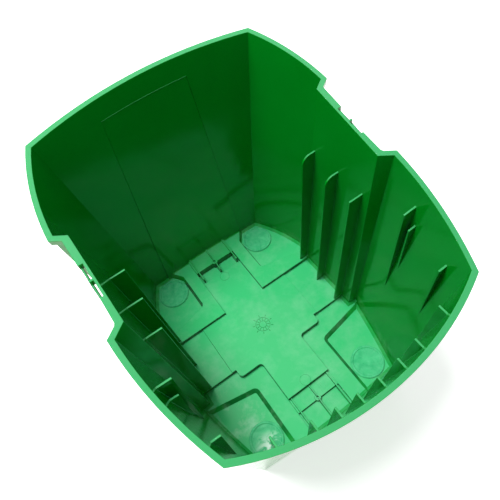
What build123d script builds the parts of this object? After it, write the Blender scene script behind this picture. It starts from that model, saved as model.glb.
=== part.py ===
from build123d import *
from math import atan, degrees
import os

os.makedirs("parts", exist_ok=True)

# All lengths are in millimetres. Z = 0 is the ground, +Y is the high side of the mouth.
# The shapes are drawn about the middle of the floor, then moved by CENTRE_Y, so that the
# origin stands under the middle of the rim.
CENTRE_Y = 1.14

# Moulded shell
WALL = 2.6
BASE_Z = 3.0
NEAR_PAD_Z = 5.6
FAR_PAD_Z = 16.0
LOFT_TOP_Z = 360.0
REACH = 220.0
BASE_CHAMFER = 3.5
OVERCUT = 0.8
MOUTH_Z = 306.65
MOUTH_SLOPE = 0.202
LIP_WIDTH = 5.2
LIP_DEPTH = 6.5

# Inside outline, right half, clockwise from the far crest to the near crest:
# (x, y) on the ground, then (x, y) at LOFT_TOP_Z
OUTLINE = (
    ((0.0, 163.5), (0.0, 180.2)),
    ((89.4, 163.0), (123.1, 163.2)),
    ((111.8, 121.7), (140.1, 120.1)),
    ((125.0, 76.5), (147.4, 74.3)),
    ((115.5, 70.5), (136.3, 67.4)),
    ((117.0, -30.8), (135.5, -20.6)),
    ((128.1, -31.9), (149.0, -30.2)),
    ((117.2, -81.6), (145.2, -92.8)),
    ((104.0, -132.5), (129.2, -153.1)),
    ((0.0, -137.5), (0.0, -190.3)),
)

# Floor levels, a staircase that drops towards the low side of the mouth
CROSS_Z = 19.2
ARM_Z = 17.7
FAR_BLOCK_Z = 24.7
NEAR_BLOCK_Z = 11.2
FAR_LEDGE_LOW_Z = 16.2
FAR_LEDGE_HIGH_Z = 28.2
NEAR_LEDGE_HIGH_Z = 12.2
NEAR_LEDGE_LOW_Z = 7.4

# Floor plan
COLUMN_X = 32.5
COLUMN_FAR_Y = 121.0
COLUMN_NEAR_Y = -87.5
CROSS_X = 72.0
CROSS_FAR_Y = 60.0
CROSS_NOTCH_X = 66.0
CROSS_NEAR_Y = -28.0
ARM_NEAR_Y = -15.5
FLOOR_CORNER_RADIUS = 5.0
FAR_RISER_Y = 137.0
NEAR_RISER_Y = -108.0
FAR_PAD = [(50.8, 89.2), (160, 63.5), (160, 210), (94.8, 210), (50.8, 147)]
FAR_PAD_SLOPE = 3.0
FAR_PAD_CORNER = 5.5
NEAR_PAD = [(55.5, -48.2), (170, -28.5), (170, -210), (55.5, -210)]
NEAR_PAD_SLOPE = 5.0
NEAR_PAD_CORNER = 8.0

# Small mouldings in the two floor clusters
WEB_THICK = 1.8
WEB_X = (-29.0, 0.0, 29.0)
FAR_WEB_TOP_Z = 30.5
NEAR_WEB_TOP_Z = 15.0
BOSS_RADIUS = 4.2
BOSS_HOLE_RADIUS = 1.6
BOSS_HOLE_DEPTH = 2.5
BOSSES = ((138.0, 29.0), (-106.5, 13.0))

# Tall fins on the two recessed side panels
FIN_THICK = 2.0
FIN_Y = (63.5, 24.3, -13.8)
FIN_TOP_Z = 240.0
FIN_TOP_X = 111.9
FIN_FOOT_X = 103.8
FIN_CORNER_RADIUS = 11.0

# Tapering side fins: (y, top height at the wall, inner x, inner height, tip x, tip height)
SIDE_FINS = (
    (-70.0, 270.0, 126.2, 266.4, 129.0, 108.0),
    (-77.5, 252.5, 129.6, 245.3, 132.4, 142.0),
    (-126.0, 250.5, 118.1, 248.0, 119.0, 130.0),
)

# Tapering ribs on the low wall: (x, top height)
NEAR_RIBS = ((11.0, 246.0), (33.0, 250.0), (55.0, 252.5), (88.0, 260.0))
NEAR_RIB_TIP_Z = 140.0
NEAR_RIB_REACH = 9.5

# Raised panel inside the high wall
PANEL_LEAN = 0.4
PANEL_FADE_Y = 179.0
PANEL_FADE_Z = 330.0
PANEL = [(-52, 318), (-66, 100), (-70, 10), (63, 10), (48, 318)]

# Stacking notches in the two recessed sides of the rim
FLANGE_FAR = [(130, 38.5), (140.6, 38.5), (141.0, 66), (146, 74), (130, 74)]
FLANGE_NEAR = [(128, 5), (138.9, 5), (139.4, -19), (145, -28), (128, -28)]
NOTCH_Y = (5.0, 38.5)
NOTCH_INNER_X = 120.0
NOTCH_RIB_Y = 21.8
NOTCH_RIB_X = 139.6

# Skirt that hangs under the rim flange behind each notch
SKIRT = [(139.1, 66), (140.7, 66), (138.9, -19), (137.3, -19)]
SKIRT_TOP_DROP = 4.5
SKIRT_FOOT_DROP = 15.0

# Hollow underside
UNDERSIDE_INSET = 2.4
POCKET_LIMIT_Z = 40.0

# Plug feet
FEET = (
    ("foot_far_left", -76.2, 136.8, FAR_PAD_Z),
    ("foot_far_right", 76.2, 136.8, FAR_PAD_Z),
    ("foot_near_left", -83.4, -108.2, NEAR_PAD_Z),
    ("foot_near_right", 83.4, -108.2, NEAR_PAD_Z),
)
FOOT_HEAD_RADIUS = 22.3
FOOT_HEAD_RISE = 2.4
FOOT_STEM_RADIUS = 20.5
FOOT_CLEARANCE = 0.15
FOOT_SNAP_RADIUS = 21.0
FOOT_SNAP_GAP = 0.15
FOOT_SNAP_HEIGHT = 0.9
FOOT_DISH_RADIUS = 18.6
FOOT_DISH_DEPTH = 0.9
FOOT_EDGE = 1.0


def ring_at(height, growth):
    """Corner and bow points of the inside outline at one height, moved outwards by growth."""
    share = height / LOFT_TOP_Z
    right = [Vector(*low) + (Vector(*high) - Vector(*low)) * share for low, high in OUTLINE]
    left = [Vector(-point.X, point.Y) for point in right[-2:0:-1]]
    ring = right + left
    moved = []
    for before, here, after in zip(ring[-1:] + ring[:-1], ring, ring[1:] + ring[:1]):
        normal_in = (here - before).normalized().rotate(Axis.Z, 90)
        normal_out = (after - here).normalized().rotate(Axis.Z, 90)
        moved.append(here + (normal_in + normal_out) * (growth / (1 + normal_in.dot(normal_out))))
    return moved


def section(height, growth):
    """Inside outline of the bin at one height, grown outwards by a margin."""
    p = ring_at(height, growth)
    with BuildSketch(Plane.XY.offset(height)) as outline:
        with BuildLine():
            ThreePointArc(p[17], p[0], p[1])
            ThreePointArc(p[1], p[2], p[3])
            Polyline(p[3], p[4], p[5], p[6])
            ThreePointArc(p[6], p[7], p[8])
            ThreePointArc(p[8], p[9], p[10])
            ThreePointArc(p[10], p[11], p[12])
            Polyline(p[12], p[13], p[14], p[15])
            ThreePointArc(p[15], p[16], p[17])
        make_face()
    return outline.sketch


def sided(points, side):
    """The same corner list on the right (side = 1) or the left (side = -1)."""
    return [(side * x, y) for x, y in points]


mouth = Plane(origin=(0, 0, MOUTH_Z), x_dir=(1, 0, 0), z_dir=(0, -MOUTH_SLOPE, 1))

# Floor areas as (height, list of corner lists); where two overlap the higher one shows
CROSS = [
    (0, COLUMN_FAR_Y),
    (COLUMN_X, COLUMN_FAR_Y),
    (COLUMN_X, CROSS_FAR_Y),
    (CROSS_X, CROSS_FAR_Y),
    (CROSS_X, ARM_NEAR_Y),
    (CROSS_NOTCH_X, ARM_NEAR_Y),
    (CROSS_NOTCH_X, CROSS_NEAR_Y),
    (COLUMN_X, CROSS_NEAR_Y),
    (COLUMN_X, COLUMN_NEAR_Y),
    (0, COLUMN_NEAR_Y),
]
ARM = [(CROSS_X, ARM_NEAR_Y), (REACH, ARM_NEAR_Y), (REACH, CROSS_FAR_Y), (CROSS_X, CROSS_FAR_Y)]
FAR_BLOCK = [(COLUMN_X, CROSS_FAR_Y), (REACH, CROSS_FAR_Y), (REACH, REACH), (COLUMN_X, REACH)]
NEAR_BLOCK = [(COLUMN_X, 0), (REACH, 0), (REACH, -REACH), (COLUMN_X, -REACH)]
FAR_LEDGE_LOW = [(0, COLUMN_FAR_Y), (COLUMN_X, COLUMN_FAR_Y), (COLUMN_X, FAR_RISER_Y), (0, FAR_RISER_Y)]
FAR_LEDGE_HIGH = [(0, FAR_RISER_Y), (COLUMN_X, FAR_RISER_Y), (COLUMN_X, REACH), (0, REACH)]
NEAR_LEDGE_HIGH = [(0, COLUMN_NEAR_Y), (COLUMN_X, COLUMN_NEAR_Y), (COLUMN_X, NEAR_RISER_Y), (0, NEAR_RISER_Y)]
NEAR_LEDGE_LOW = [(0, NEAR_RISER_Y), (COLUMN_X, NEAR_RISER_Y), (COLUMN_X, -REACH), (0, -REACH)]

FAR_BLOCK_STRIP = [(COLUMN_X, CROSS_FAR_Y), (REACH, CROSS_FAR_Y), (REACH, 66), (COLUMN_X, 88)]
FAR_BLOCK_BAR = [(COLUMN_X, CROSS_FAR_Y), (52, CROSS_FAR_Y), (52, REACH), (COLUMN_X, REACH)]
FAR_PAD_AREA = [(52, 93), (REACH, 58), (REACH, REACH), (52, REACH)]
NEAR_BLOCK_STRIP = [(0, ARM_NEAR_Y), (REACH, ARM_NEAR_Y), (REACH, -24), (0, -52)]
NEAR_BLOCK_BAR = [(COLUMN_X, -20), (55.5, -20), (55.5, -REACH), (COLUMN_X, -REACH)]

FLOORS = (
    (CROSS_Z, [CROSS], FLOOR_CORNER_RADIUS),
    (ARM_Z, [ARM], 0),
    (FAR_PAD_Z, [FAR_BLOCK], 0),
    (FAR_LEDGE_LOW_Z, [FAR_LEDGE_LOW], 0),
    (FAR_LEDGE_HIGH_Z, [FAR_LEDGE_HIGH], 0),
    (NEAR_LEDGE_HIGH_Z, [NEAR_LEDGE_HIGH], 0),
    (NEAR_LEDGE_LOW_Z, [NEAR_LEDGE_LOW], 0),
)

# Raised blocks with a sloped-sided recess for each foot:
# (block corners, recess corners, recess floor height, block height, width of the sloped side,
# radius of the recess corner that comes first in its list)
BLOCKS = (
    (FAR_BLOCK, FAR_PAD, FAR_PAD_Z, FAR_BLOCK_Z, FAR_PAD_SLOPE, FAR_PAD_CORNER),
    (NEAR_BLOCK, NEAR_PAD, NEAR_PAD_Z, NEAR_BLOCK_Z, NEAR_PAD_SLOPE, NEAR_PAD_CORNER),
)


def pad_outline(corners, rim_z, radius, side):
    """Plan of one corner recess, with its first corner rounded."""
    first_x, first_y = sided(corners, side)[0]
    with BuildSketch(Plane.XY.offset(rim_z)) as outline:
        Polygon(*sided(corners, side), align=None)
        fillet(outline.vertices().sort_by_distance((first_x, first_y, rim_z))[0], radius=radius)
    return outline.sketch


def pad_recess(corners, floor_z, rim_z, slope, radius, side):
    """Void of one sloped-sided corner recess, from its floor up past the block round it."""
    outline = pad_outline(corners, rim_z, radius, side)
    depth = rim_z - floor_z
    with BuildPart() as recess:
        extrude(to_extrude=outline, amount=BASE_CHAMFER + 2 * OVERCUT)
        extrude(to_extrude=outline, amount=depth, dir=(0, 0, -1), taper=degrees(atan(slope / depth)))
    return recess.part


def near_wall_y(x, height):
    """Y of the inside of the low wall at one x and height."""
    p = ring_at(height, 0)
    half_width = p[8].X
    return p[9].Y + (p[8].Y - p[9].Y) * (x / half_width) ** 2


POCKETS = (
    (CROSS_Z, [CROSS]),
    (ARM_Z, [ARM]),
    (FAR_BLOCK_Z, [FAR_BLOCK_STRIP, FAR_BLOCK_BAR]),
    (FAR_PAD_Z, [FAR_PAD_AREA]),
    (NEAR_BLOCK_Z, [NEAR_BLOCK_STRIP, NEAR_BLOCK_BAR]),
    (FAR_LEDGE_LOW_Z, [FAR_LEDGE_LOW, FAR_LEDGE_HIGH]),
    (NEAR_LEDGE_HIGH_Z, [NEAR_LEDGE_HIGH]),
)

with BuildPart() as cavity:
    loft(sections=[section(NEAR_PAD_Z, -BASE_CHAMFER), section(NEAR_PAD_Z + BASE_CHAMFER, 0)])
    loft(sections=[section(NEAR_PAD_Z + BASE_CHAMFER, 0), section(LOFT_TOP_Z, 0)])

floor_parts = []
for level, areas, corner in FLOORS:
    with BuildPart() as floor_step:
        with BuildSketch(Plane.XY.offset(BASE_Z)) as plan:
            for area in areas:
                Polygon(*sided(area, 1), align=None)
                Polygon(*sided(area, -1), align=None)
            if corner > 0:
                notch_corners = plan.vertices().filter_by_position(Axis.Y, CROSS_NEAR_Y - 1, CROSS_NEAR_Y + 1)
                fillet(notch_corners, radius=corner)
        extrude(amount=level + BASE_CHAMFER + OVERCUT - BASE_Z)
        loft(
            sections=[section(level, -BASE_CHAMFER), section(level + BASE_CHAMFER + OVERCUT, OVERCUT)],
            mode=Mode.SUBTRACT,
        )
    floor_parts.append(floor_step.part)

for corners, recess_corners, pad_z, block_z, slope, radius in BLOCKS:
    with BuildPart() as block:
        with BuildSketch(Plane.XY.offset(BASE_Z)):
            Polygon(*sided(corners, 1), align=None)
            Polygon(*sided(corners, -1), align=None)
        extrude(amount=block_z + BASE_CHAMFER + OVERCUT - BASE_Z)
        loft(
            sections=[section(block_z, -BASE_CHAMFER), section(block_z + BASE_CHAMFER + OVERCUT, OVERCUT)],
            mode=Mode.SUBTRACT,
        )
        for way in (-1, 1):
            add(pad_recess(recess_corners, pad_z, block_z, slope, radius, way), mode=Mode.SUBTRACT)
    floor_parts.append(block.part)

with BuildPart() as ribs:
    for way in (-1, 1):
        for fin_y in FIN_Y:
            with BuildSketch(Plane.XZ.offset(-fin_y)) as fin_side:
                with BuildLine():
                    Polyline(
                        (way * REACH, FIN_TOP_Z),
                        (way * FIN_TOP_X, FIN_TOP_Z),
                        (way * FIN_FOOT_X, 0),
                        (way * REACH, 0),
                        close=True,
                    )
                make_face()
                top_corners = fin_side.vertices().sort_by(Axis.Z)[-2:]
                inner_corner = top_corners.sort_by(Axis.X)[0 if way > 0 else -1]
                fillet(inner_corner, radius=FIN_CORNER_RADIUS)
            extrude(amount=FIN_THICK / 2, both=True)
        for rib_y, wall_z, top_x, top_z, tip_x, tip_z in SIDE_FINS:
            with BuildSketch(Plane.XZ.offset(-rib_y)):
                Polygon(
                    (way * REACH, wall_z + (wall_z - top_z)),
                    (way * top_x, top_z),
                    (way * tip_x, tip_z),
                    (way * REACH, tip_z),
                    align=None,
                )
            extrude(amount=FIN_THICK / 2, both=True)
        for rib_x, rib_top_z in NEAR_RIBS:
            top_wall_y = near_wall_y(rib_x, rib_top_z)
            with BuildSketch(Plane.YZ.offset(way * rib_x)):
                Polygon(
                    (-REACH, rib_top_z),
                    (top_wall_y + NEAR_RIB_REACH, rib_top_z),
                    (near_wall_y(rib_x, NEAR_RIB_TIP_Z) - OVERCUT, NEAR_RIB_TIP_Z),
                    (-REACH, NEAR_RIB_TIP_Z),
                    align=None,
                )
            extrude(amount=FIN_THICK / 2, both=True)

with BuildPart() as cluster_mouldings:
    with BuildSketch(Plane.XY.offset(BASE_Z)):
        for web_x in WEB_X:
            with Locations((web_x, (COLUMN_FAR_Y + REACH) / 2)):
                Rectangle(WEB_THICK, REACH - COLUMN_FAR_Y)
    extrude(amount=FAR_WEB_TOP_Z - BASE_Z)
    with BuildSketch(Plane.XY.offset(BASE_Z)):
        for web_x in WEB_X:
            with Locations((web_x, (COLUMN_NEAR_Y - REACH) / 2)):
                Rectangle(WEB_THICK, REACH + COLUMN_NEAR_Y)
    extrude(amount=NEAR_WEB_TOP_Z - BASE_Z)
    for boss_y, boss_top_z in BOSSES:
        with BuildSketch(Plane.XY.offset(BASE_Z)):
            with Locations((0, boss_y)):
                Circle(BOSS_RADIUS)
        extrude(amount=boss_top_z - BASE_Z)

# The panel stands proud of the high wall by an amount that fades to nothing near the rim
panel_hinge = Axis((0, PANEL_FADE_Y, PANEL_FADE_Z), (1, 0, 0))
with BuildPart() as panel:
    with BuildSketch(Plane.XZ):
        Polygon(*PANEL, align=None)
    extrude(amount=-REACH)
    add(cavity.part.rotate(panel_hinge, -PANEL_LEAN), mode=Mode.SUBTRACT)

with BuildPart() as hollow:
    add(cavity.part)
    for floor_part in floor_parts:
        add(floor_part, mode=Mode.SUBTRACT)
    add(ribs.part, mode=Mode.SUBTRACT)
    add(cluster_mouldings.part, mode=Mode.SUBTRACT)
    add(panel.part, mode=Mode.SUBTRACT)

with BuildPart() as lip_band:
    loft(sections=[section(0, LIP_WIDTH), section(LOFT_TOP_Z, LIP_WIDTH)])
    with BuildSketch(Plane.XY):
        for way in (-1, 1):
            Polygon(*sided(FLANGE_FAR, way), align=None)
            Polygon(*sided(FLANGE_NEAR, way), align=None)
    extrude(amount=LOFT_TOP_Z)
    with BuildSketch(Plane.XY):
        for way in (-1, 1):
            with Locations((way * (NOTCH_INNER_X + REACH) / 2, (NOTCH_Y[0] + NOTCH_Y[1]) / 2)):
                Rectangle(REACH - NOTCH_INNER_X, NOTCH_Y[1] - NOTCH_Y[0])
    extrude(amount=LOFT_TOP_Z, mode=Mode.SUBTRACT)
    with BuildSketch(Plane.XY):
        for way in (-1, 1):
            with Locations((way * (NOTCH_INNER_X + NOTCH_RIB_X) / 2, NOTCH_RIB_Y)):
                Rectangle(NOTCH_RIB_X - NOTCH_INNER_X, FIN_THICK)
    extrude(amount=LOFT_TOP_Z)
    split(bisect_by=mouth, keep=Keep.BOTTOM)
    split(bisect_by=mouth.offset(-LIP_DEPTH), keep=Keep.TOP)

with BuildPart() as skirt:
    with BuildSketch(Plane.XY):
        for way in (-1, 1):
            Polygon(*sided(SKIRT, way), align=None)
    extrude(amount=LOFT_TOP_Z)
    split(bisect_by=mouth.offset(-SKIRT_TOP_DROP), keep=Keep.BOTTOM)
    split(bisect_by=mouth.offset(-SKIRT_FOOT_DROP), keep=Keep.TOP)

with BuildPart() as underside:
    for top_z, areas in POCKETS:
        with BuildSketch(Plane.XY):
            for area in areas:
                Polygon(*sided(area, 1), align=None)
                Polygon(*sided(area, -1), align=None)
            offset(amount=-UNDERSIDE_INSET, kind=Kind.INTERSECTION)
        extrude(amount=top_z - WALL)
    loft(sections=[section(0, 0), section(POCKET_LIMIT_Z, 0)], mode=Mode.INTERSECT)

with BuildPart() as bin_shell:
    loft(sections=[section(BASE_Z, WALL), section(LOFT_TOP_Z, WALL)])
    split(bisect_by=mouth, keep=Keep.BOTTOM)
    add(lip_band.part)
    add(skirt.part)
    add(hollow.part, mode=Mode.SUBTRACT)
    add(underside.part, mode=Mode.SUBTRACT)
    for foot_name, foot_x, foot_y, pad_z in FEET:
        with Locations((foot_x, foot_y, pad_z)):
            Cylinder(FOOT_STEM_RADIUS + FOOT_CLEARANCE, 4 * WALL, mode=Mode.SUBTRACT)
    for boss_y, boss_top_z in BOSSES:
        with Locations((0, boss_y, boss_top_z)):
            Cylinder(BOSS_HOLE_RADIUS, 2 * BOSS_HOLE_DEPTH, mode=Mode.SUBTRACT)
bin_shell.part.position = (0, -CENTRE_Y, 0)
bin_shell.part.label = "bin_shell"
export_step(bin_shell.part, "parts/bin_shell.step")

for foot_name, foot_x, foot_y, pad_z in FEET:
    snap_z = pad_z - WALL - FOOT_SNAP_GAP
    head_z = pad_z + FOOT_HEAD_RISE
    with BuildPart() as foot:
        with BuildSketch(Plane.XZ):
            with BuildLine():
                Polyline(
                    (0, 0),
                    (FOOT_STEM_RADIUS - FOOT_EDGE, 0),
                    (FOOT_STEM_RADIUS, FOOT_EDGE),
                    (FOOT_STEM_RADIUS, snap_z - FOOT_SNAP_HEIGHT),
                    (FOOT_SNAP_RADIUS, snap_z - FOOT_SNAP_HEIGHT / 2),
                    (FOOT_STEM_RADIUS, snap_z),
                    (FOOT_STEM_RADIUS, pad_z),
                    (FOOT_HEAD_RADIUS, pad_z),
                    (FOOT_HEAD_RADIUS, head_z - FOOT_EDGE),
                    (FOOT_HEAD_RADIUS - FOOT_EDGE, head_z),
                    (FOOT_DISH_RADIUS + FOOT_DISH_DEPTH, head_z),
                    (FOOT_DISH_RADIUS, head_z - FOOT_DISH_DEPTH),
                    (0, head_z - FOOT_DISH_DEPTH),
                    close=True,
                )
            make_face()
        revolve(axis=Axis.Z)
    foot.part.position = (foot_x, foot_y - CENTRE_Y, 0)
    foot.part.label = foot_name
    export_step(foot.part, f"parts/{foot_name}.step")
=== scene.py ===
from math import radians

import bmesh
import bpy
from mathutils import Euler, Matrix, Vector


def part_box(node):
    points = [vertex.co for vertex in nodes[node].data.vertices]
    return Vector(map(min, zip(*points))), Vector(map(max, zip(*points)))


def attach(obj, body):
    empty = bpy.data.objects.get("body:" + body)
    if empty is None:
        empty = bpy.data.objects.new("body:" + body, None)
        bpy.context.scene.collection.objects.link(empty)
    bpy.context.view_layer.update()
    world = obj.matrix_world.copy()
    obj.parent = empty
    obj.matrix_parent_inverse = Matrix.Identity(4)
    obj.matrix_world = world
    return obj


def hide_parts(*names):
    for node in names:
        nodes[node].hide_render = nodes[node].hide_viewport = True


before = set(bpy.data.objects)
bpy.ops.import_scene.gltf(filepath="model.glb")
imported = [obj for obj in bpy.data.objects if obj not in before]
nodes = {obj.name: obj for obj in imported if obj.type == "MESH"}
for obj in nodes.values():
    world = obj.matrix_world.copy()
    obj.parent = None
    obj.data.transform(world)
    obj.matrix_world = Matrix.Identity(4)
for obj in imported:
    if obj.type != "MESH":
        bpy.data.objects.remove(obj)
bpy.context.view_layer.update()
scene = bpy.context.scene

MM = 0.001
BEVEL_WIDTH = 0.35 * MM
PLUG_BEVEL_WIDTH = 0.6 * BEVEL_WIDTH
MERGE_DISTANCE = 0.002 * MM
EDGE_ANGLE = radians(28)
FEET = ("foot_far_left", "foot_far_right", "foot_near_left", "foot_near_right")

# The CAD nodes are centred front to back, which moved the middle of the floor by this much
FLOOR_SHIFT = -1.14 * MM
CROSS_TOP = 19.2 * MM

# Two ledges between the near webs: height of the top, middle in Y, length of a ridge
NEAR_LEDGES = ((12.2 * MM, -97.7 * MM, 13.0 * MM), (7.4 * MM, -119.0 * MM, 15.0 * MM))
LEDGE_BAY_X = (-15.0 * MM, 15.0 * MM)
RIDGE_COUNT = 5
RIDGE_PITCH = 2.4 * MM
RIDGE_WIDTH = 0.5 * MM
RIDGE_DEPTH = 0.4 * MM

EJECTOR_PLACES = ((0.0, 112.7 * MM), (0.0, -80.6 * MM))
EJECTOR_RADIUS = 7.0 * MM
EJECTOR_BEAD = 0.28 * MM

# A plain stand-in for the emboss in the middle of the floor: two rings and two rows of bars
DIAL_PLACE = (1.0 * MM, 15.6 * MM)
DIAL_BEAD = 0.30 * MM
DIAL_RING_RADII = (5.0 * MM, 10.0 * MM)
DIAL_BAR_ROWS = ((7.5 * MM, 12), (13.0 * MM, 9))
DIAL_BAR = (3.2 * MM, 0.9 * MM, 0.5 * MM)

# Middle and half size of the part of the floor whose risers are shaded, inside the walls
FLOOR_MIDDLE_Y = 9.0 * MM
FLOOR_HALF_WIDTH = 108.0 * MM
FLOOR_HALF_LENGTH = 132.0 * MM
FLOOR_ZONE_TOP = (24.0 * MM, 34.0 * MM)

# A worn spot and a spot of painted glare, placed from the near left foot
near_left_low, near_left_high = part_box("foot_near_left")
NEAR_LEFT_X = (near_left_low.x + near_left_high.x) / 2
NEAR_LEFT_Y = (near_left_low.y + near_left_high.y) / 2
PAD_SCUFF_SPOT = (NEAR_LEFT_X - 16.6 * MM, NEAR_LEFT_Y + 34.34 * MM, 6.0 * MM)
PAD_SCUFF_REACH = 75.0 * MM
PLUG_GLARE_SPOT = (NEAR_LEFT_X, NEAR_LEFT_Y - 11.66 * MM, 7.0 * MM)
PLUG_GLARE_REACH = 22.0 * MM

# Finishes of the green moulding, with tones for painted shade on the floor's risers and the dial marks,
# and for painted sheen on faces that look up
GREEN_DEEP = (0.0003, 0.225, 0.010, 1)
GREEN_LIGHT = (0.0006, 0.275, 0.016, 1)
FLOOR_SHEEN_TONE = (0.045, 0.47, 0.175, 1)
MARK_SHADE_TONE = (0.01, 0.26, 0.07, 1)
RISER_SHADE_TONE = (0.0002, 0.035, 0.002, 1)
RIM_SHEEN_TONE = (0.05, 0.33, 0.13, 1)
SCUFF_TONE = (0.36, 0.62, 0.46, 1)
RISER_SHADE = 0.85
RIM_SHEEN_AMOUNT = 0.8
FLOOR_SHEEN_AMOUNT = 0.9
SCUFF_STRENGTH = 0.75
SCUFF_SHARE_ELSEWHERE = 0.22
SCUFF_ROUGHNESS = 0.16
GREEN_RIPPLE = 0.06
GREEN_GRAIN = 0.10
GREEN_GLOSS = (0.10, 0.18)
GREEN_SUBSURFACE = (0.12, (0.15, 1.0, 0.35))

# Finishes of the plug feet, with a pale tone for painted glare
PLUG_DEEP = (0.03, 0.38, 0.15, 1)
PLUG_LIGHT = (0.07, 0.50, 0.22, 1)
PLUG_SMEAR = (0.16, 0.55, 0.32, 1)
PLUG_GLARE_TONE = (0.75, 0.85, 0.80, 1)
PLUG_SMEAR_STRENGTH = 0.3
PLUG_RIPPLE = 0.45
PLUG_GRAIN = 0.1
PLUG_GLOSS = (0.08, 0.2)
PLUG_SUBSURFACE = (0.2, (0.4, 1.0, 0.6))

PLASTIC_IOR = 1.49
SUBSURFACE_SCALE = 4.0 * MM

# Studio
FLOOR_GLOW = 0.62
WORLD_STRENGTH = 0.28
LIGHT_TARGET = (0.0, 0.0, 0.1)
CAMERA_PLACE = (-0.1022, -0.2176 + FLOOR_SHIFT, 0.6373)
CAMERA_TURN = (30.93, 6.19, -34.90)
CAMERA_LENS = 33.94
CAMERA_SENSOR = 36.0


# ---------------------------------------------------------------- shader groups
def new_shader_group(name, inputs, outputs):
    """An empty shader group with its sockets, its input node and its output node."""
    group = bpy.data.node_groups.new(name, "ShaderNodeTree")
    for label, kind, value in inputs:
        socket = group.interface.new_socket(name=label, in_out="INPUT", socket_type=kind)
        if value is not None:
            socket.default_value = value
    for label, kind in outputs:
        group.interface.new_socket(name=label, in_out="OUTPUT", socket_type=kind)
    entry = group.nodes.new("NodeGroupInput")
    leave = group.nodes.new("NodeGroupOutput")
    return group, entry, leave


def add_noise(group, source, scale, detail, roughness, distortion=0.0):
    noise = group.nodes.new("ShaderNodeTexNoise")
    noise.inputs["Scale"].default_value = scale
    noise.inputs["Detail"].default_value = detail
    noise.inputs["Roughness"].default_value = roughness
    noise.inputs["Distortion"].default_value = distortion
    group.links.new(source, noise.inputs["Vector"])
    return noise.outputs["Fac"]


def remap(group, source, low, high, to_low, to_high):
    node = group.nodes.new("ShaderNodeMapRange")
    node.inputs["From Min"].default_value = low
    node.inputs["From Max"].default_value = high
    node.inputs["To Min"].default_value = to_low
    node.inputs["To Max"].default_value = to_high
    group.links.new(source, node.inputs["Value"])
    return node.outputs["Result"]


def math_node(group, operation, first, second=0.0):
    node = group.nodes.new("ShaderNodeMath")
    node.operation = operation
    for socket, value in zip(node.inputs, (first, second)):
        if isinstance(value, (int, float)):
            socket.default_value = value
        else:
            group.links.new(value, socket)
    return node.outputs["Value"]


def build_moulded_skin():
    """Normal of moulded plastic: slow sink ripples under a fine grain."""
    group, entry, leave = new_shader_group(
        "moulded_skin",
        [
            ("Vector", "NodeSocketVector", None),
            ("Ripple", "NodeSocketFloat", 0.1),
            ("Grain", "NodeSocketFloat", 0.03),
        ],
        [("Normal", "NodeSocketVector")],
    )
    ripple = group.nodes.new("ShaderNodeBump")
    ripple.inputs["Distance"].default_value = 0.6 * MM
    group.links.new(add_noise(group, entry.outputs["Vector"], 22, 2, 0.4), ripple.inputs["Height"])
    group.links.new(entry.outputs["Ripple"], ripple.inputs["Strength"])
    grain = group.nodes.new("ShaderNodeBump")
    grain.inputs["Distance"].default_value = 0.05 * MM
    group.links.new(add_noise(group, entry.outputs["Vector"], 900, 3, 0.6), grain.inputs["Height"])
    group.links.new(entry.outputs["Grain"], grain.inputs["Strength"])
    group.links.new(ripple.outputs["Normal"], grain.inputs["Normal"])
    group.links.new(grain.outputs["Normal"], leave.inputs["Normal"])
    return group


def build_wear():
    """Masks for handling wear: broad scuffed patches and fine smears."""
    group, entry, leave = new_shader_group(
        "handling_wear",
        [("Vector", "NodeSocketVector", None)],
        [("Scuff", "NodeSocketFloat"), ("Smear", "NodeSocketFloat")],
    )
    place = entry.outputs["Vector"]
    scuff = add_noise(group, place, 30, 7, 0.66)
    group.links.new(remap(group, scuff, 0.46, 0.70, 0.0, 1.0), leave.inputs["Scuff"])
    smear = add_noise(group, place, 95, 5, 0.62, 1.4)
    group.links.new(remap(group, smear, 0.42, 0.74, 0.0, 1.0), leave.inputs["Smear"])
    return group


MOULDED_SKIN = build_moulded_skin()
HANDLING_WEAR = build_wear()


# ---------------------------------------------------------------- materials
def use_group(tree, group, vector):
    node = tree.nodes.new("ShaderNodeGroup")
    node.node_tree = group
    tree.links.new(vector, node.inputs["Vector"])
    return node


def mix_colour(tree, factor, first, second):
    """Mixes two colours, through sockets 6 and 7 of the node, which are its colour inputs."""
    node = tree.nodes.new("ShaderNodeMix")
    node.data_type = "RGBA"
    sockets = (node.inputs["Factor"], node.inputs[6], node.inputs[7])
    for socket, value in zip(sockets, (factor, first, second)):
        if isinstance(value, (tuple, float, int)):
            socket.default_value = value
        else:
            tree.links.new(value, socket)
    return node.outputs[2]


def new_material(name):
    material = bpy.data.materials.new(name)
    material.use_nodes = True
    tree = material.node_tree
    shader = tree.nodes["Principled BSDF"]
    place = tree.nodes.new("ShaderNodeTexCoord").outputs["Object"]
    return material, tree, shader, place


def near_spot(tree, place, spot, reach):
    """1 at a spot, fading to 0 at a distance from it."""
    gap = tree.nodes.new("ShaderNodeVectorMath")
    gap.operation = "DISTANCE"
    tree.links.new(place, gap.inputs[0])
    gap.inputs[1].default_value = spot
    return remap(tree, gap.outputs["Value"], 0.0, reach, 1.0, 0.0)


def up_facing(tree):
    """1 on faces that look up, 0 on walls and risers."""
    normal = tree.nodes.new("ShaderNodeTexCoord").outputs["Normal"]
    split = tree.nodes.new("ShaderNodeSeparateXYZ")
    tree.links.new(normal, split.inputs["Vector"])
    return remap(tree, split.outputs["Z"], 0.60, 0.97, 0.0, 1.0)


def set_plastic(shader, subsurface):
    weight, radius = subsurface
    shader.inputs["IOR"].default_value = PLASTIC_IOR
    shader.inputs["Subsurface Weight"].default_value = weight
    shader.inputs["Subsurface Radius"].default_value = radius
    shader.inputs["Subsurface Scale"].default_value = SUBSURFACE_SCALE


def add_skin(tree, shader, place, ripple, grain):
    skin = use_group(tree, MOULDED_SKIN, place)
    skin.inputs["Ripple"].default_value = ripple
    skin.inputs["Grain"].default_value = grain
    tree.links.new(skin.outputs["Normal"], shader.inputs["Normal"])


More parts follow.
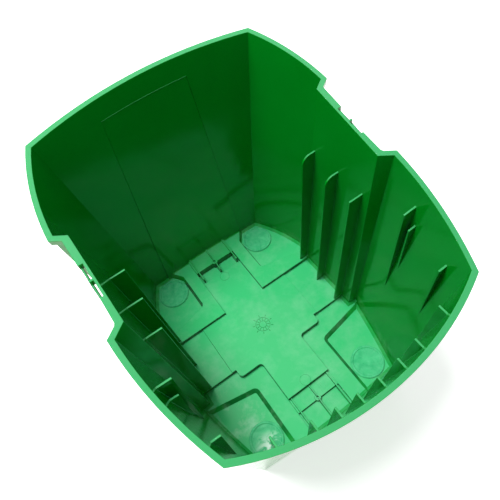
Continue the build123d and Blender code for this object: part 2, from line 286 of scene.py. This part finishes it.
def floor_area(tree, axes, low_down):
    """1 over the floor, 0 at the walls and outside them."""
    across = math_node(tree, "DIVIDE", math_node(tree, "ABSOLUTE", axes["X"]), FLOOR_HALF_WIDTH)
    along = math_node(tree, "ABSOLUTE", math_node(tree, "SUBTRACT", axes["Y"], FLOOR_MIDDLE_Y))
    from_middle = math_node(tree, "MAXIMUM", across, math_node(tree, "DIVIDE", along, FLOOR_HALF_LENGTH))
    return math_node(tree, "MULTIPLY", low_down, remap(tree, from_middle, 0.94, 1.0, 1.0, 0.0))


def green_plastic(name, painted_sheen_tone):
    """Glossy, faintly translucent green polypropylene, scuffed on its floor, with painted shade on the
    floor's risers and a painted sheen on faces that look up.
    """
    material, tree, shader, place = new_material(name)
    wear = use_group(tree, HANDLING_WEAR, place)
    add_skin(tree, shader, place, GREEN_RIPPLE, GREEN_GRAIN)
    set_plastic(shader, GREEN_SUBSURFACE)
    split = tree.nodes.new("ShaderNodeSeparateXYZ")
    tree.links.new(place, split.inputs["Vector"])
    low_down = remap(tree, split.outputs["Z"], *FLOOR_ZONE_TOP, 1.0, 0.0)
    upward = up_facing(tree)

    cloud = remap(tree, add_noise(tree, place, 7, 3, 0.5), 0.3, 0.7, 0.0, 1.0)
    tone = mix_colour(tree, cloud, GREEN_DEEP, GREEN_LIGHT)

    # Painted shade: steep faces of the floor, its risers, are darkened towards a near-black green as if
    # turned from the light
    steep = remap(tree, upward, 0.0, 1.0, RISER_SHADE, 0.0)
    riser = math_node(tree, "MULTIPLY", floor_area(tree, split.outputs, low_down), steep)
    shaded = mix_colour(tree, riser, tone, RISER_SHADE_TONE)

    # Painted sheen: faces that look up above the floor, such as the rim top, are paled as if lit from
    # overhead
    rim = math_node(tree, "MULTIPLY", math_node(tree, "SUBTRACT", upward, low_down), RIM_SHEEN_AMOUNT)
    rim_sheened = mix_colour(tree, math_node(tree, "MAXIMUM", rim, 0.0), shaded, RIM_SHEEN_TONE)

    # Painted sheen: faces of the floor that look up are lightened towards pale mint as if lit from
    # overhead
    floor_sheen_mask = math_node(tree, "MULTIPLY", math_node(tree, "MULTIPLY", low_down, upward), FLOOR_SHEEN_AMOUNT)
    floor_sheened = mix_colour(tree, floor_sheen_mask, rim_sheened, painted_sheen_tone)

    left_pad = near_spot(tree, place, PAD_SCUFF_SPOT, PAD_SCUFF_REACH)
    scuff_share = math_node(tree, "MAXIMUM", left_pad, SCUFF_SHARE_ELSEWHERE)
    low_scuff = math_node(tree, "MULTIPLY", wear.outputs["Scuff"], low_down)
    scuff = math_node(tree, "MULTIPLY", low_scuff, scuff_share)
    scuffed = mix_colour(tree, math_node(tree, "MULTIPLY", scuff, SCUFF_STRENGTH), floor_sheened, SCUFF_TONE)
    tree.links.new(scuffed, shader.inputs["Base Color"])

    gloss = remap(tree, wear.outputs["Smear"], 0.0, 1.0, *GREEN_GLOSS)
    rough = math_node(tree, "ADD", gloss, math_node(tree, "MULTIPLY", scuff, SCUFF_ROUGHNESS))
    tree.links.new(rough, shader.inputs["Roughness"])
    return material


def milky_plastic():
    """Milky plug plastic with faint swirls, and white swirls of painted glare on the near left plug."""
    material, tree, shader, place = new_material("milky_plug_plastic")
    wear = use_group(tree, HANDLING_WEAR, place)
    add_skin(tree, shader, place, PLUG_RIPPLE, PLUG_GRAIN)
    set_plastic(shader, PLUG_SUBSURFACE)
    swirl = add_noise(tree, place, 60, 4, 0.6, 1.2)
    tone = mix_colour(tree, remap(tree, swirl, 0.35, 0.7, 0.0, 1.0), PLUG_DEEP, PLUG_LIGHT)
    smear = math_node(tree, "MULTIPLY", wear.outputs["Smear"], PLUG_SMEAR_STRENGTH)
    smeared = mix_colour(tree, smear, tone, PLUG_SMEAR)
    # Painted reflection: white swirls of glare on the near left plug
    left_plug_glare = near_spot(tree, place, PLUG_GLARE_SPOT, PLUG_GLARE_REACH)
    glare_swirl = math_node(tree, "MULTIPLY", left_plug_glare, remap(tree, swirl, 0.48, 0.60, 0.0, 1.0))
    glared = mix_colour(tree, glare_swirl, smeared, PLUG_GLARE_TONE)
    tree.links.new(glared, shader.inputs["Base Color"])
    tree.links.new(remap(tree, swirl, 0.3, 0.8, *PLUG_GLOSS), shader.inputs["Roughness"])
    return material


GREEN = green_plastic("green_polypropylene", FLOOR_SHEEN_TONE)
# The dial marks take a darker tone where up-facing faces elsewhere take the pale painted sheen: painted
# shade that sets the raised marks off the floor
GREEN_SHADED_MARKS = green_plastic("green_polypropylene_shaded_marks", MARK_SHADE_TONE)
MILKY = milky_plastic()


# ---------------------------------------------------------------- mesh helpers
# Material numbers that tell kept faces from those of the rounding while a mesh is built
KEPT_FACE = 0
ROUNDED_FACE = 1


def vertex_normal(vert, exact):
    """The CAD surface normal at a vertex; on a rounded edge, that of the rounding."""
    flats = [loop[exact].normalized() for loop in vert.link_loops if loop.face.material_index == KEPT_FACE]
    flats = [normal for normal in flats if normal.length > 0.5]
    if not flats:
        flats = [face.normal * face.calc_area() for face in vert.link_faces]
    total = sum(flats, Vector())
    return total.normalized() if total.length > 0 else vert.normal.copy()


def softened_copy(node_name, piece_name, material, width):
    """A merged copy of a CAD node with rounded hard edges that keeps the CAD surface normals."""
    source = nodes[node_name].data
    mesh = source.copy()
    mesh.name = piece_name
    mesh.materials.clear()
    mesh.materials.append(material)
    build = bmesh.new()
    build.from_mesh(mesh)
    exact = build.loops.layers.float_vector.new("exact")
    build.faces.ensure_lookup_table()
    for polygon in source.polygons:
        for loop, index in zip(build.faces[polygon.index].loops, polygon.loop_indices):
            loop[exact] = source.corner_normals[index].vector
    bmesh.ops.remove_doubles(build, verts=build.verts, dist=MERGE_DISTANCE)
    hard = [edge for edge in build.edges if edge.is_manifold and edge.calc_face_angle() > EDGE_ANGLE]
    for face in build.faces:
        face.material_index = KEPT_FACE
    bmesh.ops.bevel(
        build, geom=hard, offset=width, offset_type="OFFSET", segments=2, profile=0.5,
        affect="EDGES", clamp_overlap=False, material=ROUNDED_FACE,
    )
    build.normal_update()
    normals = [vertex_normal(vert, exact) for vert in build.verts]
    for face in build.faces:
        face.material_index = 0
        face.smooth = True
    build.loops.layers.float_vector.remove(exact)
    build.to_mesh(mesh)
    build.free()
    for edge in mesh.edges:
        edge.use_edge_sharp = False
    mesh.normals_split_custom_set_from_vertices(normals)
    piece = bpy.data.objects.new(piece_name, mesh)
    scene.collection.objects.link(piece)
    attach(piece, "root")
    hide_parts(node_name)
    return piece


shell = softened_copy("bin_shell", "shell_moulding", GREEN, BEVEL_WIDTH)
for foot_name in FEET:
    plug = softened_copy(foot_name, foot_name.replace("foot", "plug"), MILKY, PLUG_BEVEL_WIDTH)


# ---------------------------------------------------------------- raised marks on the floor
def new_geometry_tree(name, inputs):
    """A Geometry Nodes tree with a geometry output and named number inputs."""
    tree = bpy.data.node_groups.new(name, "GeometryNodeTree")
    tree.interface.new_socket(name="Geometry", in_out="OUTPUT", socket_type="NodeSocketGeometry")
    for label, kind, value in inputs:
        socket = tree.interface.new_socket(name=label, in_out="INPUT", socket_type=kind)
        if value is not None:
            socket.default_value = value
    return tree, tree.nodes.new("NodeGroupInput"), tree.nodes.new("NodeGroupOutput")


def finish_tree(tree, leave, source, material):
    """Ends a tree in Realize Instances and Set Material."""
    real = tree.nodes.new("GeometryNodeRealizeInstances")
    paint = tree.nodes.new("GeometryNodeSetMaterial")
    paint.inputs["Material"].default_value = material
    tree.links.new(source, real.inputs["Geometry"])
    tree.links.new(real.outputs["Geometry"], paint.inputs["Geometry"])
    tree.links.new(paint.outputs["Geometry"], leave.inputs["Geometry"])


def ring_tree():
    """A low round bead that runs round a circle."""
    tree, entry, leave = new_geometry_tree(
        "moulded_ring",
        [
            ("Radius", "NodeSocketFloat", EJECTOR_RADIUS),
            ("Bead", "NodeSocketFloat", EJECTOR_BEAD),
        ],
    )
    path = tree.nodes.new("GeometryNodeCurvePrimitiveCircle")
    path.inputs["Resolution"].default_value = 64
    bead = tree.nodes.new("GeometryNodeCurvePrimitiveCircle")
    bead.inputs["Resolution"].default_value = 8
    sweep = tree.nodes.new("GeometryNodeCurveToMesh")
    tree.links.new(entry.outputs["Radius"], path.inputs["Radius"])
    tree.links.new(entry.outputs["Bead"], bead.inputs["Radius"])
    tree.links.new(path.outputs["Curve"], sweep.inputs["Curve"])
    tree.links.new(bead.outputs["Curve"], sweep.inputs["Profile Curve"])
    finish_tree(tree, leave, sweep.outputs["Mesh"], GREEN)
    return tree


def ticks_tree():
    """Short bars set round a circle, each pointing away from its middle."""
    tree, entry, leave = new_geometry_tree(
        "dial_ticks",
        [
            ("Radius", "NodeSocketFloat", 9.0 * MM),
            ("Count", "NodeSocketInt", 12),
            ("Bar", "NodeSocketVector", DIAL_BAR),
        ],
    )
    ring = tree.nodes.new("GeometryNodeMeshCircle")
    bar = tree.nodes.new("GeometryNodeMeshCube")
    spread = tree.nodes.new("GeometryNodeInstanceOnPoints")
    place = tree.nodes.new("GeometryNodeInputPosition")
    aim = tree.nodes.new("FunctionNodeAlignRotationToVector")
    aim.axis = "X"
    tree.links.new(entry.outputs["Radius"], ring.inputs["Radius"])
    tree.links.new(entry.outputs["Count"], ring.inputs["Vertices"])
    tree.links.new(entry.outputs["Bar"], bar.inputs["Size"])
    tree.links.new(ring.outputs["Mesh"], spread.inputs["Points"])
    tree.links.new(bar.outputs["Mesh"], spread.inputs["Instance"])
    tree.links.new(place.outputs["Position"], aim.inputs["Vector"])
    tree.links.new(aim.outputs["Rotation"], spread.inputs["Rotation"])
    finish_tree(tree, leave, spread.outputs["Instances"], GREEN)
    return tree


def ridges_tree():
    """A row of fine parallel ridges."""
    tree, entry, leave = new_geometry_tree(
        "ledge_ridges",
        [
            ("Count", "NodeSocketInt", RIDGE_COUNT),
            ("Pitch", "NodeSocketFloat", RIDGE_PITCH),
            ("Ridge", "NodeSocketVector", (RIDGE_WIDTH, 12.0 * MM, RIDGE_DEPTH)),
        ],
    )
    row = tree.nodes.new("GeometryNodeMeshLine")
    step = tree.nodes.new("ShaderNodeCombineXYZ")
    ridge = tree.nodes.new("GeometryNodeMeshCube")
    spread = tree.nodes.new("GeometryNodeInstanceOnPoints")
    tree.links.new(entry.outputs["Pitch"], step.inputs["X"])
    tree.links.new(step.outputs["Vector"], row.inputs["Offset"])
    tree.links.new(entry.outputs["Count"], row.inputs["Count"])
    tree.links.new(entry.outputs["Ridge"], ridge.inputs["Size"])
    tree.links.new(row.outputs["Mesh"], spread.inputs["Points"])
    tree.links.new(ridge.outputs["Mesh"], spread.inputs["Instance"])
    finish_tree(tree, leave, spread.outputs["Instances"], GREEN)
    return tree


def grown_mesh(tree, values):
    """The plain mesh that a tree makes with the given input values."""
    blank = bpy.data.meshes.new(tree.name)
    carrier = bpy.data.objects.new(tree.name, blank)
    scene.collection.objects.link(carrier)
    grow = carrier.modifiers.new("grow", "NODES")
    grow.node_group = tree
    for item in tree.interface.items_tree:
        if item.in_out == "INPUT" and item.name in values:
            grow[item.identifier] = values[item.name]
    depsgraph = bpy.context.evaluated_depsgraph_get()
    made = bpy.data.meshes.new_from_object(carrier.evaluated_get(depsgraph), depsgraph=depsgraph)
    bpy.data.objects.remove(carrier)
    return made


def marks_piece(name, parts, material):
    """One piece on the shell from several grown meshes and the places they stand at."""
    build = bmesh.new()
    for mesh, place in parts:
        start = len(build.verts)
        build.from_mesh(mesh)
        build.verts.ensure_lookup_table()
        for vert in build.verts[start:]:
            vert.co += Vector(place)
    mesh = bpy.data.meshes.new(name)
    build.to_mesh(mesh)
    build.free()
    mesh.materials.append(material)
    piece = bpy.data.objects.new(name, mesh)
    scene.collection.objects.link(piece)
    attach(piece, "root")
    return piece


RING = ring_tree()
TICKS = ticks_tree()
RIDGES = ridges_tree()

ejector_ring = grown_mesh(RING, {"Radius": EJECTOR_RADIUS, "Bead": EJECTOR_BEAD})
ejector_parts = [(ejector_ring, (x, y + FLOOR_SHIFT, CROSS_TOP)) for x, y in EJECTOR_PLACES]
marks_piece("ejector_marks", ejector_parts, GREEN)

dial_x, dial_y = DIAL_PLACE
dial_at = (dial_x, dial_y + FLOOR_SHIFT, CROSS_TOP)
dial_meshes = [grown_mesh(RING, {"Radius": radius, "Bead": DIAL_BEAD}) for radius in DIAL_RING_RADII]
dial_meshes += [grown_mesh(TICKS, {"Radius": radius, "Count": count}) for radius, count in DIAL_BAR_ROWS]
marks_piece("date_dial", [(mesh, dial_at) for mesh in dial_meshes], GREEN_SHADED_MARKS)

row_start = RIDGE_PITCH * (RIDGE_COUNT - 1) / 2
ridge_parts = []
for ledge_top, ledge_y, ridge_length in NEAR_LEDGES:
    ridges = grown_mesh(RIDGES, {"Ridge": (RIDGE_WIDTH, ridge_length, RIDGE_DEPTH)})
    for bay_x in LEDGE_BAY_X:
        ridge_parts.append((ridges, (bay_x - row_start, ledge_y + FLOOR_SHIFT, ledge_top)))
marks_piece("ledge_ridges", ridge_parts, GREEN)


# ---------------------------------------------------------------- studio
def area_light(name, place, size, watts):
    data = bpy.data.lights.new(name, "AREA")
    data.shape = "DISK"
    data.size = size
    data.energy = watts
    lamp = bpy.data.objects.new(name, data)
    lamp.location = place
    lamp.rotation_euler = (Vector(LIGHT_TARGET) - Vector(place)).to_track_quat("-Z", "Y").to_euler()
    scene.collection.objects.link(lamp)
    return lamp


def pale_floor():
    bpy.ops.mesh.primitive_plane_add(size=12.0, location=(0, 0, 0))
    floor = bpy.context.object
    floor.name = "studio_floor"
    material = bpy.data.materials.new("studio_floor_paint")
    material.use_nodes = True
    shader = material.node_tree.nodes["Principled BSDF"]
    shader.inputs["Base Color"].default_value = (0.9, 0.9, 0.9, 1)
    shader.inputs["Roughness"].default_value = 0.9
    shader.inputs["Emission Color"].default_value = (1, 1, 1, 1)
    shader.inputs["Emission Strength"].default_value = FLOOR_GLOW
    floor.data.materials.append(material)


pale_floor()
key = area_light("key_softbox", (-0.35, 0.32, 2.1), 0.8, 60)
key.visible_glossy = False
area_light("mirror_softbox", (0.45, 0.95, 1.9), 1.9, 5)

world = bpy.data.worlds.new("studio_world")
world.use_nodes = True
world.node_tree.nodes["Background"].inputs["Color"].default_value = (1, 1, 1, 1)
world.node_tree.nodes["Background"].inputs["Strength"].default_value = WORLD_STRENGTH
scene.world = world
scene.view_settings.view_transform = "Standard"

camera_data = bpy.data.cameras.new("main_camera")
camera_data.lens = CAMERA_LENS
camera_data.sensor_width = CAMERA_SENSOR
camera = bpy.data.objects.new("main_camera", camera_data)
camera.location = CAMERA_PLACE
camera.rotation_euler = Euler([radians(angle) for angle in CAMERA_TURN], "XYZ")
scene.collection.objects.link(camera)
scene.camera = camera
